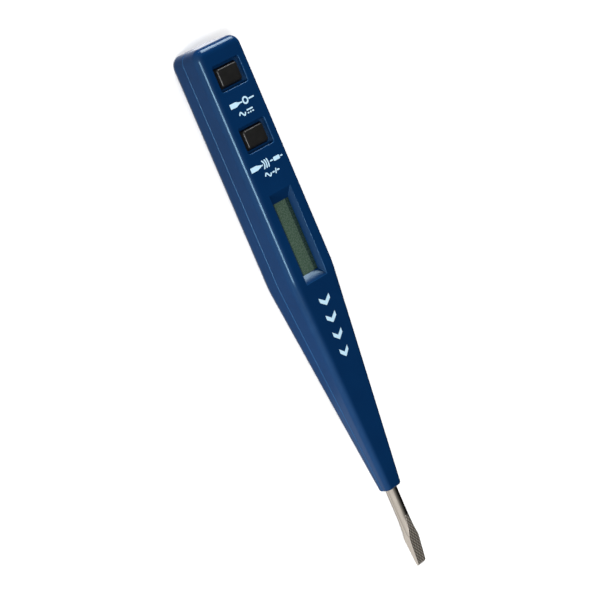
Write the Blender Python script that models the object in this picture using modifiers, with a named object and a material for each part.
"""A digital voltage test pencil, lying on its back.

X runs across it, +Y from the screwdriver tip to the closed top end, and +Z out of the face that
carries the two keys and the display. The origin is on the surface it lies on, under the middle
of its length.
"""

import math

import bmesh
import bpy
from mathutils import Vector

MM = 0.001

# Overall length, tip to top end
LENGTH = 136.6 * MM
TOP_Y = LENGTH / 2
TIP_Y = -LENGTH / 2

# Casing: a straight grip, then a nose that tapers on all four sides
CASING_WIDTH = 15.0 * MM
CASING_THICKNESS = 10.6 * MM
BEND_Y = 9.1 * MM
NOSE_Y = -47.45 * MM
NOSE_WIDTH = 5.0 * MM
NOSE_LOW_Z = 3.2 * MM
NOSE_HIGH_Z = 7.35 * MM
EDGE_RADIUS = 2.0 * MM
NOSE_EDGE_RADIUS = 1.3 * MM
PLAN_CORNER_RADIUS = 2.8 * MM
NOSE_END_RADIUS = 0.5 * MM
INNER_CORNER_RADIUS = 0.5 * MM
WALL = 1.5 * MM
PARTING_Z = 5.0 * MM
CAVITY_END_Y = -24.0 * MM
FRONT_RIB_DEPTH = 2.0 * MM

# Clearances
FIT_GAP = 0.3 * MM
SEAM = 0.2 * MM
FILM_GAP = 0.1 * MM
OVERLAP = 0.3 * MM

# Keys and the windows they stand in
KEYS = {"contact": 60.0 * MM, "inductive": 44.45 * MM}
KEY_WINDOW_X = 8.7 * MM
KEY_WINDOW_Y = 6.5 * MM
KEY_WINDOW_RADIUS = 0.5 * MM
KEY_LEDGE = 0.4 * MM
KEY_CLEARANCE = 0.15 * MM
KEY_X = 7.0 * MM
KEY_Y = 4.8 * MM
KEY_EDGE = 0.45 * MM
KEY_TOP_Z = 10.5 * MM
FLANGE_X = 11.2 * MM
FLANGE_Y = 8.0 * MM
FLANGE_THICKNESS = 0.8 * MM
KEY_POST_RADIUS = 1.1 * MM
KEY_TRAVEL = 0.8 * MM

# Display: the sloped recess in the face and the glass behind it
RECESS_HALF_X = 3.6 * MM
RECESS_LOW_Y = 7.25 * MM
RECESS_HIGH_Y = 30.4 * MM
OPENING_HALF_X = 2.75 * MM
OPENING_LOW_Y = 9.5 * MM
OPENING_HIGH_Y = 27.9 * MM
DISPLAY_TOP_Z = 8.8 * MM
POLARISER = 0.2 * MM
POLARISER_OVERLAP = 1.2 * MM
REFLECTOR_INSET = 0.2 * MM
GLASS = 0.65 * MM
FRONT_GLASS_HALF_X = 4.3 * MM
REAR_GLASS_HALF_X = 3.0 * MM
GLASS_LOW_Y = 6.6 * MM
GLASS_HIGH_Y = 30.6 * MM
STRIP_X = 1.0 * MM
STRIP_MID_X = 3.7 * MM
STRIP_MARGIN_Y = 1.5 * MM

# Circuit board
BOARD_TOP_Z = 4.4 * MM
BOARD_THICKNESS = 1.0 * MM
BOARD_HALF_X = 5.3 * MM
BOARD_END_HALF_X = 4.5 * MM
BOARD_LOW_Y = 0.0 * MM
BOARD_HIGH_Y = 64.6 * MM
PEGS_Y = (52.2 * MM, 37.2 * MM)
PEG_RADIUS = 0.8 * MM
PEG_BASE_RADIUS = 1.7 * MM
PEG_TOP_Z = 7.6 * MM
BOSS_RADIUS = 1.8 * MM
BOARD_RIBS_Y = (4.0 * MM, 20.0 * MM, 61.0 * MM)
RIB = 0.8 * MM

# Springs
KEY_SPRING_RADIUS = 1.6 * MM
KEY_SPRING_WIRE = 0.35 * MM
KEY_SPRING_TURNS = 4.0
SEAT_RADIUS = 2.2 * MM
SEAT_THICKNESS = 0.2 * MM
BLADE_SPRING_RADIUS = 1.1 * MM
BLADE_SPRING_WIRE = 0.35 * MM
BLADE_SPRING_TURNS = 7.0
SPRING_STEPS = 10

# Blade: round shaft, two ground flats and a slightly spread end
BLADE_Z = 5.2 * MM
BLADE_RADIUS = 1.5 * MM
BLADE_TAIL_Y = -21.0 * MM
FLAT_START_Y = -54.0 * MM
SPREAD_Y = -61.4 * MM
SPREAD_HALF_X = 1.59 * MM
TIP_HALF_X = 1.32 * MM
SPREAD_FRONT = 0.96 * MM
SPREAD_REAR = 1.04 * MM
TIP_FRONT = 0.0 * MM
TIP_REAR = 0.72 * MM
TIP_CHAMFER = 0.25 * MM
ROUND_POWER = 2.0
SQUARE_POWER = 12.0
BLADE_SIDES = 32
BLADE_SLICES = 6
WING_HALF_X = 2.1 * MM
WING_THICKNESS = 1.2 * MM
WING_LOW_Y = -31.0 * MM
WING_HIGH_Y = -29.0 * MM

# Blade terminal and the two safety resistors
TERMINAL_LOW_Y = -13.0 * MM
TERMINAL_THICKNESS = 0.6 * MM
TERMINAL_RADIUS = 1.7 * MM
RESISTOR_RADIUS = 1.15 * MM
RESISTOR_LENGTH = 6.4 * MM
NOSE_RESISTOR_Y = -7.2 * MM
BOARD_RESISTOR_Y = 33.0 * MM
LEAD_RADIUS = 0.28 * MM
LEAD_SIDES = 8
FOOT_RADIUS = 0.25 * MM
LEAD_FOOT_Y = 1.2 * MM
LEAD_FOOT_X = 4.6 * MM

# Parts on the board: the chip's drop of epoxy, then the size of each kind of small part
# (along X, along Y, height) and the x and y of each one
CHIP_HALF_X = 2.6 * MM
CHIP_HALF_Y = 3.4 * MM
CHIP_HEIGHT = 1.5 * MM
CHIP_MIDDLE_Y = 18.6 * MM
RESISTOR_SIZE = (1.6 * MM, 0.8 * MM, 0.45 * MM)
CAPACITOR_SIZE = (2.0 * MM, 1.25 * MM, 0.9 * MM)
DIODE_SIZE = (2.6 * MM, 1.6 * MM, 1.0 * MM)
TRANSISTOR_SIZE = (2.9 * MM, 1.4 * MM, 1.0 * MM)
CHIP_RESISTORS = [(-4.1 * MM, y * MM) for y in (42.6, 44.5, 46.4, 62.4)]
CHIP_CAPACITORS = [(3.8 * MM, 50.7 * MM), (3.8 * MM, 53.6 * MM), (0.0, 13.0 * MM)]
CLAMP_DIODES = [(3.85 * MM, 43.2 * MM), (3.85 * MM, 45.9 * MM)]
INPUT_TRANSISTOR = (0.0, 3.6 * MM)

CORNER_STEPS = 5
ROUND_SIDES = 24
FILLET_STEPS = 4

MATERIALS = {
    "navy_abs": ((0.006, 0.03, 0.10), 0.28, 0.0),
    "black_key": ((0.012, 0.012, 0.013), 0.35, 0.0),
    "steel": ((0.56, 0.52, 0.47), 0.25, 1.0),
    "spring_steel": ((0.6, 0.6, 0.6), 0.3, 1.0),
    "brass": ((0.75, 0.55, 0.25), 0.3, 1.0),
    "board_green": ((0.02, 0.12, 0.05), 0.45, 0.0),
    "display_film": ((0.10, 0.14, 0.10), 0.25, 0.0),
    "glass": ((0.55, 0.62, 0.58), 0.05, 0.0),
    "silver_film": ((0.6, 0.6, 0.58), 0.3, 0.6),
    "pink_rubber": ((0.55, 0.25, 0.25), 0.7, 0.0),
    "epoxy": ((0.01, 0.01, 0.01), 0.3, 0.0),
    "resistor_blue": ((0.10, 0.28, 0.42), 0.4, 0.0),
    "ceramic_tan": ((0.45, 0.33, 0.20), 0.5, 0.0),
    "chip_black": ((0.015, 0.015, 0.016), 0.5, 0.0),
}


def clear_scene():
    for old in list(bpy.data.objects):
        bpy.data.objects.remove(old, do_unlink=True)


def new_collection(name):
    collection = bpy.data.collections.new(name)
    bpy.context.scene.collection.children.link(collection)
    return collection


def material(name):
    made = bpy.data.materials.get(name)
    if made:
        return made
    colour, roughness, metallic = MATERIALS[name]
    made = bpy.data.materials.new(name)
    made.use_nodes = True
    shader = made.node_tree.nodes["Principled BSDF"]
    shader.inputs["Base Color"].default_value = (*colour, 1.0)
    shader.inputs["Roughness"].default_value = roughness
    shader.inputs["Metallic"].default_value = metallic
    made.diffuse_color = (*colour, 1.0)
    return made


def add(name, shape, look=None):
    """Put a bmesh into the scene: as a part with its look, or as a cutter without one."""
    data = bpy.data.meshes.new(name)
    shape.normal_update()
    bmesh.ops.recalc_face_normals(shape, faces=shape.faces)
    shape.to_mesh(data)
    shape.free()
    return place(bpy.data.objects.new(name, data), look)


def place(made, look=None):
    if look:
        made.data.materials.append(material(look))
        PARTS.objects.link(made)
    else:
        made.hide_render = True
        made.display_type = "WIRE"
        CUTTERS.objects.link(made)
    return made


def boolean(target, tool, operation):
    step = target.modifiers.new(tool.name, "BOOLEAN")
    step.operation = operation
    step.object = tool


def cut(target, *tools):
    for tool in tools:
        boolean(target, tool, "DIFFERENCE")


def join(target, *tools):
    for tool in tools:
        boolean(target, tool, "UNION")


def smooth(made):
    made.data.shade_smooth()
    made.data.set_sharp_from_angle(angle=math.radians(35))


def box(name, x, y, z, look=None):
    """A box between the pairs of limits x, y and z."""
    shape = bmesh.new()
    bmesh.ops.create_cube(shape, size=1.0)
    for vertex in shape.verts:
        limits = zip((x, y, z), vertex.co)
        vertex.co = [pair[1] if side > 0 else pair[0] for pair, side in limits]
    return add(name, shape, look)


def rod(name, radius, start, end, look=None, sides=ROUND_SIDES):
    """A cylinder between two points."""
    start = Vector(start)
    end = Vector(end)
    shape = bmesh.new()
    bmesh.ops.create_cone(
        shape,
        cap_ends=True,
        segments=sides,
        radius1=radius,
        radius2=radius,
        depth=(end - start).length,
    )
    turn = (end - start).to_track_quat("Z", "Y")
    for vertex in shape.verts:
        vertex.co = (start + end) / 2 + turn @ vertex.co
    made = add(name, shape, look)
    smooth(made)
    return made


def rounded_outline(half_u, half_v, radius):
    """Points round a rectangle with rounded corners, anticlockwise, centred on zero."""
    points = []
    corners = ((1, 1, 0), (-1, 1, 90), (-1, -1, 180), (1, -1, 270))
    for sign_u, sign_v, start in corners:
        for step in range(CORNER_STEPS + 1):
            angle = math.radians(start + 90 * step / CORNER_STEPS)
            u = sign_u * (half_u - radius) + radius * math.cos(angle)
            v = sign_v * (half_v - radius) + radius * math.sin(angle)
            points.append((u, v))
    return points


def loft(name, rings, look=None):
    """A closed body through rings of points that all have the same count."""
    shape = bmesh.new()
    loops = [[shape.verts.new(point) for point in ring] for ring in rings]
    for first, second in zip(loops, loops[1:]):
        for index, vertex in enumerate(first):
            after = (index + 1) % len(first)
            shape.faces.new((vertex, first[after], second[after], second[index]))
    shape.faces.new(loops[0])
    shape.faces.new(loops[-1])
    made = add(name, shape, look)
    smooth(made)
    return made


def rounded_block(name, half_x, half_y, middle_y, radius, z, look=None):
    """An upright prism with rounded corners in plan."""
    outline = rounded_outline(half_x, half_y, radius)
    rings = [[(u, middle_y + v, level) for u, v in outline] for level in z]
    return loft(name, rings, look)


def end_inset(distance, radius):
    """How far a rounded end has drawn in at a distance from its end face."""
    left = max(radius - distance, 0.0)
    return radius - math.sqrt(radius * radius - left * left)


def casing_size(y):
    """Half width, lowest and highest z and corner radius of the casing's section at y."""
    share = max(0.0, (BEND_Y - y) / (BEND_Y - NOSE_Y))
    half = (CASING_WIDTH + share * (NOSE_WIDTH - CASING_WIDTH)) / 2
    low = share * NOSE_LOW_Z
    high = CASING_THICKNESS + share * (NOSE_HIGH_Z - CASING_THICKNESS)
    radius = EDGE_RADIUS + share * (NOSE_EDGE_RADIUS - EDGE_RADIUS)
    return half, low, high, radius


def casing_ring(y, inset_x, inset_z):
    half, low, high, radius = casing_size(y)
    radius = max(radius - inset_z, INNER_CORNER_RADIUS)
    outline = rounded_outline(half - inset_x, (high - low) / 2 - inset_z, radius)
    middle = (low + high) / 2
    return [(u, y, middle + v) for u, v in outline]


def casing_block(name, look=None):
    """The whole casing as one solid, before it is hollowed and parted."""
    rings = []
    for step in range(FILLET_STEPS + 1):
        distance = PLAN_CORNER_RADIUS * (1 - math.cos(math.pi / 2 * step / FILLET_STEPS))
        inset_x = end_inset(distance, PLAN_CORNER_RADIUS)
        inset_z = end_inset(distance, EDGE_RADIUS)
        rings.append(casing_ring(TOP_Y - distance, inset_x, inset_z))
    rings.append(casing_ring(BEND_Y, 0.0, 0.0))
    for step in range(FILLET_STEPS, -1, -1):
        distance = NOSE_END_RADIUS * (1 - math.cos(math.pi / 2 * step / FILLET_STEPS))
        inset = end_inset(distance, NOSE_END_RADIUS)
        rings.append(casing_ring(NOSE_Y + distance, inset, inset))
    return loft(name, rings, look)


def casing_cavity():
    stations = (TOP_Y - WALL, BEND_Y, CAVITY_END_Y)
    return loft("cavity", [casing_ring(y, WALL, WALL) for y in stations])


def blade_channel():
    """The bore that grips the shaft, with the pocket for its two wings."""
    radius = BLADE_RADIUS + FIT_GAP / 2
    start = (0.0, NOSE_Y - WALL, BLADE_Z)
    end = (0.0, CAVITY_END_Y + WALL, BLADE_Z)
    pocket_z = WING_THICKNESS / 2 + FIT_GAP
    pocket = box(
        "wing_pocket",
        (-WING_HALF_X - FIT_GAP, WING_HALF_X + FIT_GAP),
        (WING_LOW_Y - FIT_GAP, WING_HIGH_Y + FIT_GAP),
        (BLADE_Z - pocket_z, BLADE_Z + pocket_z),
    )
    return rod("blade_bore", radius, start, end), pocket


def half_space(name, z):
    reach = CASING_WIDTH
    return box(name, (-reach, reach), (NOSE_Y - reach, TOP_Y + reach), z)


def display_recess():
    """The recess round the display: steep long walls and sloping end walls."""
    face_z = CASING_THICKNESS
    inner_z = CASING_THICKNESS - WALL
    shape = bmesh.new()
    bmesh.ops.create_cube(shape, size=1.0)
    for vertex in shape.verts:
        # The slopes run on past both faces of the wall.
        z = face_z + OVERLAP if vertex.co.z > 0 else inner_z - OVERLAP
        share = (z - inner_z) / WALL
        half_x = OPENING_HALF_X + share * (RECESS_HALF_X - OPENING_HALF_X)
        low_y = OPENING_LOW_Y + share * (RECESS_LOW_Y - OPENING_LOW_Y)
        high_y = OPENING_HIGH_Y + share * (RECESS_HIGH_Y - OPENING_HIGH_Y)
        vertex.co.y = high_y if vertex.co.y > 0 else low_y
        vertex.co.x = math.copysign(half_x, vertex.co.x)
        vertex.co.z = z
    return add("display_recess", shape)


def front_ribs():
    """Guides inside the front shell: across beside each key, along beside the display."""
    inner_z = CASING_THICKNESS - WALL
    ribs = []
    reach_x = CASING_WIDTH / 2 - WALL + OVERLAP
    for key, middle in KEYS.items():
        for side in (-1, 1):
            near = middle + side * (FLANGE_Y / 2 + FIT_GAP)
            limits = sorted((near, near + side * RIB))
            name = f"{key}_guide_{'high' if side > 0 else 'low'}"
            ribs.append(box(name, (-reach_x, reach_x), limits, (inner_z - FRONT_RIB_DEPTH, inner_z + OVERLAP)))
    for side in (-1, 1):
        near = side * (FRONT_GLASS_HALF_X + FIT_GAP)
        limits = sorted((near, near + side * RIB))
        name = f"display_guide_{'right' if side > 0 else 'left'}"
        along = (OPENING_LOW_Y, OPENING_HIGH_Y)
        ribs.append(box(name, limits, along, (inner_z - FRONT_RIB_DEPTH, inner_z + OVERLAP)))
    return ribs


def front_shell(cavity, bore, pocket):
    shell = casing_block("front_shell", "navy_abs")
    upper = half_space("upper_half", (PARTING_Z + SEAM / 2, CASING_THICKNESS * 2))
    boolean(shell, upper, "INTERSECT")
    cut(shell, cavity)
    inner_z = CASING_THICKNESS - WALL
    for key, middle in KEYS.items():
        window = rounded_block(
            f"{key}_window",
            KEY_WINDOW_X / 2,
            KEY_WINDOW_Y / 2,
            middle,
            KEY_WINDOW_RADIUS,
            (inner_z + KEY_LEDGE, CASING_THICKNESS + OVERLAP),
        )
        # A ledge at the foot of the window closes round the key and guides it.
        guide = rounded_block(
            f"{key}_guide_hole",
            KEY_X / 2 + KEY_CLEARANCE,
            KEY_Y / 2 + KEY_CLEARANCE,
            middle,
            KEY_EDGE,
            (inner_z - OVERLAP, inner_z + KEY_LEDGE + OVERLAP),
        )
        cut(shell, window, guide)
    cut(shell, display_recess())
    join(shell, *front_ribs())
    for index, y in enumerate(PEGS_Y):
        low = BOARD_TOP_Z + FIT_GAP
        boss = rod(f"boss_{index}", BOSS_RADIUS, (0, y, low), (0, y, inner_z + OVERLAP))
        join(shell, boss)
    for index, y in enumerate(PEGS_Y):
        hole = rod(
            f"boss_hole_{index}",
            PEG_RADIUS + FIT_GAP,
            (0, y, PARTING_Z - 2 * WALL),
            (0, y, PEG_TOP_Z + FIT_GAP),
        )
        cut(shell, hole)
    cut(shell, bore, pocket)


def rear_shell(cavity, bore, pocket):
    shell = casing_block("rear_shell", "navy_abs")
    lower = half_space("lower_half", (-CASING_THICKNESS, PARTING_Z - SEAM / 2))
    boolean(shell, lower, "INTERSECT")
    cut(shell, cavity)
    board_low = BOARD_TOP_Z - BOARD_THICKNESS
    for index, y in enumerate(BOARD_RIBS_Y):
        half, low, _, _ = casing_size(y)
        reach = half - WALL + OVERLAP
        limits_z = (low + WALL - OVERLAP, board_low - FIT_GAP)
        join(shell, box(f"board_rib_{index}", (-reach, reach), (y, y + RIB), limits_z))
    for index, y in enumerate(PEGS_Y):
        base_top = board_low - FIT_GAP
        join(shell, rod(f"peg_base_{index}", PEG_BASE_RADIUS, (0, y, WALL - OVERLAP), (0, y, base_top)))
        join(shell, rod(f"peg_{index}", PEG_RADIUS, (0, y, WALL), (0, y, PEG_TOP_Z)))
    cut(shell, bore, pocket)


def key_button(key, middle):
    """The part of a key that is seen, on a flange that the front wall holds in and a spring post."""
    name = f"{key}_test_button"
    flange_top = CASING_THICKNESS - WALL - FIT_GAP
    flange_low = flange_top - FLANGE_THICKNESS
    post_low = BOARD_TOP_Z + FILM_GAP + SEAT_THICKNESS + FIT_GAP / 2 + KEY_TRAVEL
    button = box(
        name,
        (-KEY_X / 2, KEY_X / 2),
        (middle - KEY_Y / 2, middle + KEY_Y / 2),
        (flange_low + FLANGE_THICKNESS / 4, KEY_TOP_Z),
        "black_key",
    )
    edge = button.modifiers.new("rounded_edges", "BEVEL")
    edge.width = KEY_EDGE
    edge.segments = 3
    flange = rounded_block(
        f"{key}_flange", FLANGE_X / 2, FLANGE_Y / 2, middle, KEY_EDGE, (flange_low, flange_top)
    )
    post = rod(f"{key}_post", KEY_POST_RADIUS, (0, middle, post_low), (0, middle, flange_top - OVERLAP))
    join(button, flange, post)


def wire(name, points, thickness, look):
    """A round wire through the points."""
    data = bpy.data.curves.new(name, "CURVE")
    data.dimensions = "3D"
    data.bevel_depth = thickness / 2
    data.bevel_resolution = 2
    data.use_fill_caps = True
    spline = data.splines.new("POLY")
    spline.points.add(len(points) - 1)
    for target, point in zip(spline.points, points):
        target.co = (*point, 1.0)
    made = bpy.data.objects.new(name, data)
    return place(made, look)


def coil(radius, turns, start, end):
    """Points along a helix, as (across, across, along) from start to end."""
    count = round(turns * SPRING_STEPS)
    points = []
    for step in range(count + 1):
        angle = 2 * math.pi * turns * step / count
        along = start + (end - start) * step / count
        points.append((radius * math.cos(angle), radius * math.sin(angle), along))
    return points


def key_spring(key, middle):
    seat_top = BOARD_TOP_Z + FILM_GAP + SEAT_THICKNESS
    rod(
        f"{key}_spring_seat",
        SEAT_RADIUS,
        (0, middle, BOARD_TOP_Z + FILM_GAP),
        (0, middle, seat_top),
        "brass",
    )
    flange_low = CASING_THICKNESS - WALL - FIT_GAP - FLANGE_THICKNESS
    margin = FILM_GAP + KEY_SPRING_WIRE / 2
    helix = coil(KEY_SPRING_RADIUS, KEY_SPRING_TURNS, seat_top + margin, flange_low - margin)
    points = [(u, middle + v, along) for u, v, along in helix]
    wire(f"{key}_key_spring", points, KEY_SPRING_WIRE, "spring_steel")


def blade_section(y):
    """Half width, front and rear depth and power of the blade's superellipse section at y."""
    if y >= FLAT_START_Y:
        return BLADE_RADIUS, BLADE_RADIUS, BLADE_RADIUS, ROUND_POWER
    if y >= SPREAD_Y:
        share = (FLAT_START_Y - y) / (FLAT_START_Y - SPREAD_Y)
        bend = share * share
        half = BLADE_RADIUS + bend * (SPREAD_HALF_X - BLADE_RADIUS)
        front = BLADE_RADIUS + bend * (SPREAD_FRONT - BLADE_RADIUS)
        rear = BLADE_RADIUS + bend * (SPREAD_REAR - BLADE_RADIUS)
        # The corners sharpen later than the flats deepen, which keeps the outline straight.
        return half, front, rear, ROUND_POWER + share**3 * (SQUARE_POWER - ROUND_POWER)
    share = (SPREAD_Y - y) / (SPREAD_Y - TIP_Y)
    half = SPREAD_HALF_X + share * (TIP_HALF_X - SPREAD_HALF_X)
    front = SPREAD_FRONT + share * (TIP_FRONT - SPREAD_FRONT)
    rear = SPREAD_REAR + share * (TIP_REAR - SPREAD_REAR)
    return half, front, rear, SQUARE_POWER


def blade_ring(y, inset=0.0):
    """A superellipse between the two flats: round on the shaft, square at the tip."""
    half, front, rear, power = blade_section(y)
    middle = BLADE_Z + (front - rear) / 2
    deep = (front + rear) / 2 - inset
    points = []
    for step in range(BLADE_SIDES):
        angle = 2 * math.pi * (step + 0.5) / BLADE_SIDES
        across = math.copysign(abs(math.cos(angle)) ** (2 / power), math.cos(angle))
        up = math.copysign(abs(math.sin(angle)) ** (2 / power), math.sin(angle))
        points.append(((half - inset) * across, y, middle + deep * up))
    return points


def screwdriver_blade():
    rings = [blade_ring(BLADE_TAIL_Y), blade_ring(FLAT_START_Y)]
    for step in range(1, BLADE_SLICES + 1):
        rings.append(blade_ring(FLAT_START_Y + (SPREAD_Y - FLAT_START_Y) * step / BLADE_SLICES))
    rings.append(blade_ring(TIP_Y + TIP_CHAMFER))
    rings.append(blade_ring(TIP_Y, TIP_CHAMFER / 2))
    blade = loft("screwdriver_blade", rings, "steel")
    wings = box(
        "blade_wings",
        (-WING_HALF_X, WING_HALF_X),
        (WING_LOW_Y, WING_HIGH_Y),
        (BLADE_Z - WING_THICKNESS / 2, BLADE_Z + WING_THICKNESS / 2),
    )
    join(blade, wings)


def blade_contact():
    """The spring behind the blade and the terminal that it presses on."""
    margin = FILM_GAP + BLADE_SPRING_WIRE / 2
    helix = coil(BLADE_SPRING_RADIUS, BLADE_SPRING_TURNS, BLADE_TAIL_Y + margin, TERMINAL_LOW_Y - margin)
    points = [(u, along, BLADE_Z + v) for u, v, along in helix]
    wire("blade_contact_spring", points, BLADE_SPRING_WIRE, "spring_steel")
    rod(
        "blade_terminal",
        TERMINAL_RADIUS,
        (0, TERMINAL_LOW_Y, BLADE_Z),
        (0, TERMINAL_LOW_Y + TERMINAL_THICKNESS, BLADE_Z),
        "brass",
    )


def axial_resistor(name, middle, direction, ends, feet):
    """A resistor along a direction, its leads reaching to both ends, with feet down to the board."""
    middle = Vector(middle)
    direction = Vector(direction)
    half = direction * RESISTOR_LENGTH / 2
    body = rod(name, RESISTOR_RADIUS, middle - half, middle + half, "resistor_blue")
    start = middle + direction * ends[0]
    end = middle + direction * ends[1]
    join(body, rod(f"{name}_lead", LEAD_RADIUS, start, end, sides=LEAD_SIDES))
    for index, distance in enumerate(feet):
        top = middle + direction * distance
        foot_end = Vector((top.x, top.y, BOARD_TOP_Z + FILM_GAP))
        join(body, rod(f"{name}_foot_{index}", FOOT_RADIUS, top, foot_end, sides=LEAD_SIDES))


def safety_resistors():
    """One resistor in the nose, between blade terminal and board, and one across the board."""
    to_terminal = TERMINAL_LOW_Y + TERMINAL_THICKNESS + FILM_GAP - NOSE_RESISTOR_Y
    to_foot = LEAD_FOOT_Y - NOSE_RESISTOR_Y
    reach = to_foot + LEAD_RADIUS
    middle = (0, NOSE_RESISTOR_Y, BLADE_Z)
    axial_resistor("safety_resistor_1", middle, (0, 1, 0), (to_terminal, reach), (to_foot,))
    reach = LEAD_FOOT_X + LEAD_RADIUS
    middle = (0, BOARD_RESISTOR_Y, BOARD_TOP_Z + 2 * FILM_GAP + RESISTOR_RADIUS)
    feet = (-LEAD_FOOT_X, LEAD_FOOT_X)
    axial_resistor("safety_resistor_2", middle, (1, 0, 0), (-reach, reach), feet)


def circuit_board():
    outline = [
        (BOARD_END_HALF_X, BOARD_LOW_Y),
        (BOARD_HALF_X, BEND_Y),
        (BOARD_HALF_X, BOARD_HIGH_Y),
    ]
    outline += [(-x, y) for x, y in reversed(outline)]
    rings = [[(x, y, BOARD_TOP_Z - drop) for x, y in outline] for drop in (0.0, BOARD_THICKNESS)]
    board = loft("circuit_board", rings, "board_green")
    for index, y in enumerate(PEGS_Y):
        hole = rod(
            f"board_hole_{index}",
            PEG_RADIUS + FIT_GAP,
            (0, y, BOARD_TOP_Z - 2 * BOARD_THICKNESS),
            (0, y, BOARD_TOP_Z + BOARD_THICKNESS),
        )
        cut(board, hole)


def display():
    """Front polariser, front glass, rear glass and reflector, and the strips to the board."""
    long = (GLASS_LOW_Y, GLASS_HIGH_Y)
    layers = (
        ("display_polariser", OPENING_HALF_X + POLARISER_OVERLAP, POLARISER, "display_film"),
        ("display_front_glass", FRONT_GLASS_HALF_X, GLASS, "glass"),
        ("display_rear_glass", REAR_GLASS_HALF_X, GLASS, "glass"),
        ("display_reflector", REAR_GLASS_HALF_X - REFLECTOR_INSET, POLARISER, "silver_film"),
    )
    top = DISPLAY_TOP_Z
    for name, half, thickness, look in layers:
        box(name, (-half, half), long, (top - thickness, top), look)
        top -= thickness + FILM_GAP
    under_glass = DISPLAY_TOP_Z - POLARISER - GLASS - 2 * FILM_GAP
    for side, word in ((-1, "left"), (1, "right")):
        x = side * STRIP_MID_X
        box(
            f"zebra_strip_{word}",
            (x - STRIP_X / 2, x + STRIP_X / 2),
            (GLASS_LOW_Y + STRIP_MARGIN_Y, GLASS_HIGH_Y - STRIP_MARGIN_Y),
            (BOARD_TOP_Z + FILM_GAP, under_glass),
            "pink_rubber",
        )


def controller_chip():
    """The bare chip's drop of epoxy, a low dome."""
    shape = bmesh.new()
    bmesh.ops.create_uvsphere(shape, u_segments=20, v_segments=10, radius=1.0)
    for vertex in shape.verts:
        vertex.co.x *= CHIP_HALF_X
        vertex.co.y = CHIP_MIDDLE_Y + vertex.co.y * CHIP_HALF_Y
        vertex.co.z = BOARD_TOP_Z + FILM_GAP + max(vertex.co.z, 0.0) * CHIP_HEIGHT
    low_faces = [face for face in shape.faces if face_is_low(face)]
    bmesh.ops.delete(shape, geom=low_faces, context="FACES")
    bmesh.ops.holes_fill(shape, edges=shape.edges)
    smooth(add("controller_chip", shape, "epoxy"))


def face_is_low(face):
    """Whether a face was flattened onto the dome's base."""
    base = BOARD_TOP_Z + FILM_GAP
    return all(vertex.co.z < base + 1e-7 for vertex in face.verts)


def chip_part(name, x, y, size, look):
    """A small surface-mounted part on the board."""
    low = BOARD_TOP_Z + FILM_GAP
    length, width, height = size
    limits_x = (x - length / 2, x + length / 2)
    limits_y = (y - width / 2, y + width / 2)
    box(name, limits_x, limits_y, (low, low + height), look)


def board_parts():
    for index, (x, y) in enumerate(CHIP_RESISTORS):
        chip_part(f"chip_resistor_{index + 1}", x, y, RESISTOR_SIZE, "chip_black")
    for index, (x, y) in enumerate(CHIP_CAPACITORS):
        chip_part(f"chip_capacitor_{index + 1}", x, y, CAPACITOR_SIZE, "ceramic_tan")
    for index, (x, y) in enumerate(CLAMP_DIODES):
        chip_part(f"clamp_diode_{index + 1}", x, y, DIODE_SIZE, "chip_black")
    chip_part("input_transistor", *INPUT_TRANSISTOR, TRANSISTOR_SIZE, "chip_black")


def main():
    cavity = casing_cavity()
    bore, pocket = blade_channel()
    front_shell(cavity, bore, pocket)
    rear_shell(cavity, bore, pocket)
    for key, middle in KEYS.items():
        key_button(key, middle)
        key_spring(key, middle)
    display()
    circuit_board()
    controller_chip()
    board_parts()
    screwdriver_blade()
    blade_contact()
    safety_resistors()


clear_scene()
PARTS = new_collection("voltage_test_pencil")
CUTTERS = new_collection("cutters")
main()
